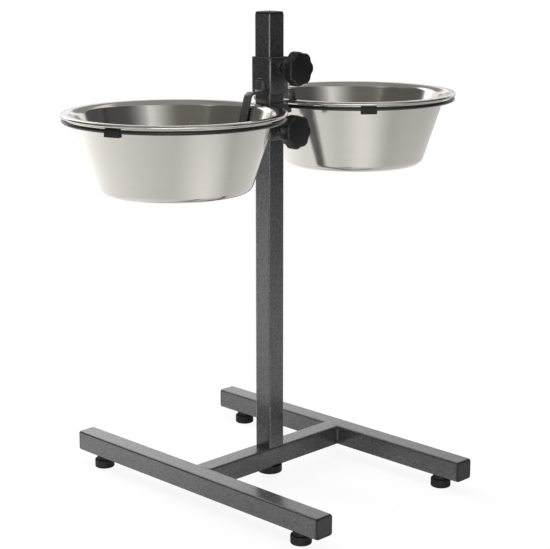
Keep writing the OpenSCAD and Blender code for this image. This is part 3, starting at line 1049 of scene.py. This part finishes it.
def makeWorld():
    world = bpy.data.worlds.new("studioWhite")
    world.use_nodes = True
    world.node_tree.nodes.clear()
    web = Shade(world.node_tree)
    seen = web.node("ShaderNodeLightPath", output="Is Camera Ray")
    glossy = web.node("ShaderNodeLightPath", output="Is Glossy Ray")
    through = web.node("ShaderNodeLightPath", output="Is Transmission Ray")
    shown = web.node("ShaderNodeClamp", None, {"Value": seen + glossy + through})
    strength = studio["surround"] + shown * (1 - studio["surround"])
    light = web.node("ShaderNodeBackground", None, {"Color": (1, 1, 1, 1), "Strength": strength})
    web.node("ShaderNodeOutputWorld", None, {"Surface": light})
    bpy.context.scene.world = world


def aim(thing, target):
    thing.rotation_euler = (Vector(target) - thing.location).to_track_quat("-Z", "Y").to_euler()


def softBox(name, place, target, size, power):
    lamp = bpy.data.lights.new(name, "AREA")
    lamp.shape = "RECTANGLE"
    lamp.size, lamp.size_y = size
    lamp.energy = power
    box = bpy.data.objects.new(name, lamp)
    bpy.context.scene.collection.objects.link(box)
    box.location = place
    aim(box, target)
    box.visible_camera = False
    box.visible_glossy = False


sharp = (0.02, 0.02)


def mirrorCard(name, bearing, distance, low, high, width, level, fades=sharp, lean=0.0, rise=0.0):
    # an upright card at a bearing, in degrees from +X, and a distance, between two heights
    a = math.radians(bearing)
    place = (distance * math.cos(a), distance * math.sin(a), (low + high) / 2)
    addCard(name, place, (math.pi / 2, 0, a + math.pi / 2), (width, high - low), level, fades, lean, rise)


def addCard(name, place, turn, size, level, fades=sharp, lean=0.0, rise=0.0):
    # only mirrors see it; its sides fade into white, lean brightens one side and rise the top
    startFresh()
    bpy.ops.mesh.primitive_plane_add(size=1, location=place)
    card = bpy.context.object
    card.name = name
    card.scale = size + (1,)
    card.rotation_euler = turn
    material, web = newMaterial(name)
    spot = web.node("ShaderNodeTexCoord", output="Object")
    across = web.node("ShaderNodeSeparateXYZ", None, {0: spot}, output="X") * 2
    ends = [web.node("ShaderNodeMapRange", {"interpolation_type": "SMOOTHSTEP"},
                     {"Value": across * way, "From Min": 1 - fade, "From Max": 1.0})
            for way, fade in zip((-1, 1), fades)]
    blend = web.node("ShaderNodeClamp", None, {"Value": ends[0] + ends[1]})
    up = web.node("ShaderNodeSeparateXYZ", None, {0: spot}, output="Y") * 2
    tone = web.node("ShaderNodeVectorMath", {"operation": "SCALE"},
                    {0: level, "Scale": 1 + across * lean + up * rise})
    glow = web.node("ShaderNodeEmission", None,
                    {"Color": mixed(web, blend, tone, (1, 1, 1, 1)), "Strength": 1.0})
    web.node("ShaderNodeOutputMaterial", None, {"Surface": glow})
    card.data.materials.append(material)
    card.visible_camera = False
    card.visible_diffuse = False
    card.visible_shadow = False


makeFloor()
makeWorld()
softBox("keyBox", (-0.25, 2.09, 1.9), (0, 0, 0.35), (1.2, 1.2), 40)
softBox("topBox", (0.2, 0.3, 2.6), (0, 0, 0.3), (1.8, 1.8), 34)
mirrorCard("backCard", 222.5, 3.2, 1.0, 3.6, 5.28, (0.19, 0.18, 0.165), (0.02, 1.07))
mirrorCard("leftCard", 138, 3.2, 1.0, 3.6, 6.86, (0.13, 0.13, 0.12), (0.4, 0.02))
mirrorCard("rightCard", 308, 3.2, 1.0, 3.6, 9.5, (0.10, 0.10, 0.105), (0.84, 0.15))
mirrorCard("lowLeftCard", 135, 2.3, 0.0, 0.95, 3.0, (0.06, 0.06, 0.065))
mirrorCard("lowRightCard", 315, 2.3, 0.0, 0.95, 3.0, (0.04, 0.04, 0.045))
mirrorCard("flangeCard", 45, 0.82, 0.58, 0.73, 1.3, (1.2, 1.2, 1.19))
mirrorCard("rimCard", 39, 0.9, 0.53, 1.5, 1.1, (0.33, 0.33, 0.32))
mirrorCard("sweepCard", 45, 4.0, 0.9, 2.2, 5.0, (1.07, 1.07, 1.07), lean=1.0, rise=0.3)
mirrorCard("stripCard", 225, 3.0, 0.1, 0.8, 2.4, (4.0, 4.0, 4.0))
mirrorCard("keyCard", 81.3, 1.232, 0.70, 1.66, 0.83, (1.9, 1.9, 1.9))
mirrorCard("hoodCard", 100, 0.66, 1.13, 2.3, 1.2, (0.28, 0.28, 0.27))
addCard("ceilingCard", (-0.6, -0.6, 3.7), (0, 0, 0), (6.0, 6.0), (0.35, 0.35, 0.34))
bpy.context.scene.view_settings.view_transform = "Standard"
print("studio set")
